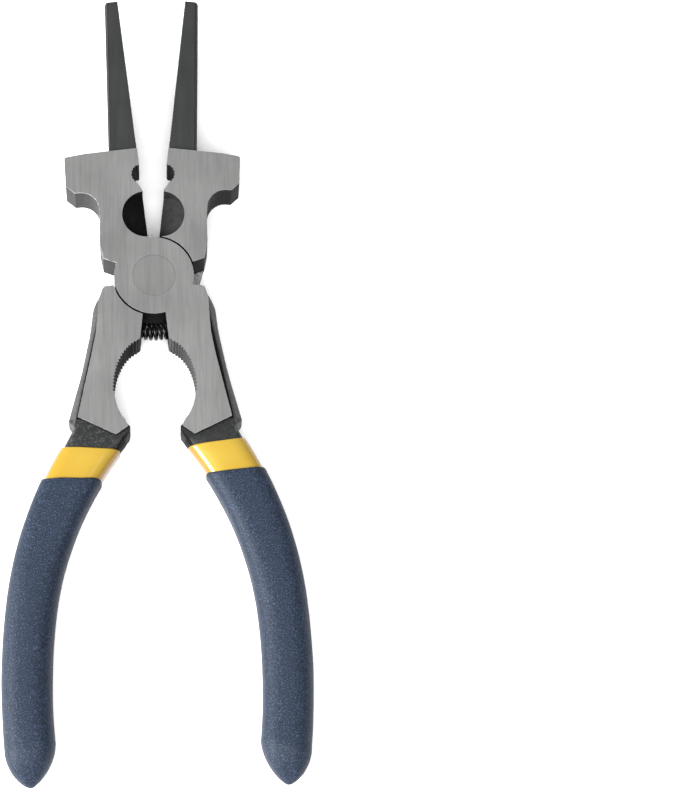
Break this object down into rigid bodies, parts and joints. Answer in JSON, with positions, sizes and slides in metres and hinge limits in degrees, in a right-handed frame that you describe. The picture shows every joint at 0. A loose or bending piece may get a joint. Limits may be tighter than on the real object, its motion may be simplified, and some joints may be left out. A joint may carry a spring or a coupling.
{
  "type": "welding pliers",
  "caption": "Multi-function welding pliers: two crossed steel levers on a flush rivet, long noses, hammer faces, side cutter, serrated nozzle hole, return spring and dipped handles.",
  "frame": {"origin": "on the pivot axis, in the underside that the tool lies on", "axes": "+Y from the pivot along the noses, +Z along the pivot axis towards the face with the front lever's disc, +X to the right"},
  "size_m": [0.0764, 0.2029, 0.012],
  "materials": {
    "lever_steel": "ground faces, black oxide elsewhere",
    "rivet_steel": "ground flush",
    "spring_steel": "black oxide",
    "first_dip": "glossy yellow vinyl",
    "outer_dip": "matte textured navy vinyl"
  },
  "bodies": {
    "front_half": {"front_lever": "lever_steel", "pivot_rivet": "rivet_steel", "return_spring": "spring_steel", "right_first_dip": "first_dip", "right_grip": "outer_dip"},
    "back_half": {"back_lever": "lever_steel", "left_first_dip": "first_dip", "left_grip": "outer_dip"}
  },
  "joints": [
    {"name": "pivot", "type": "hinge", "parent": "front_half", "child": "back_half", "pos_m": [0, 0, 0.006], "axis": [0, 0, 1], "range_deg": [0, 13], "stiffness_Nm_per_rad": 0.5, "springref_deg": -7.45, "deforming": ["return_spring"]}
  ]
}
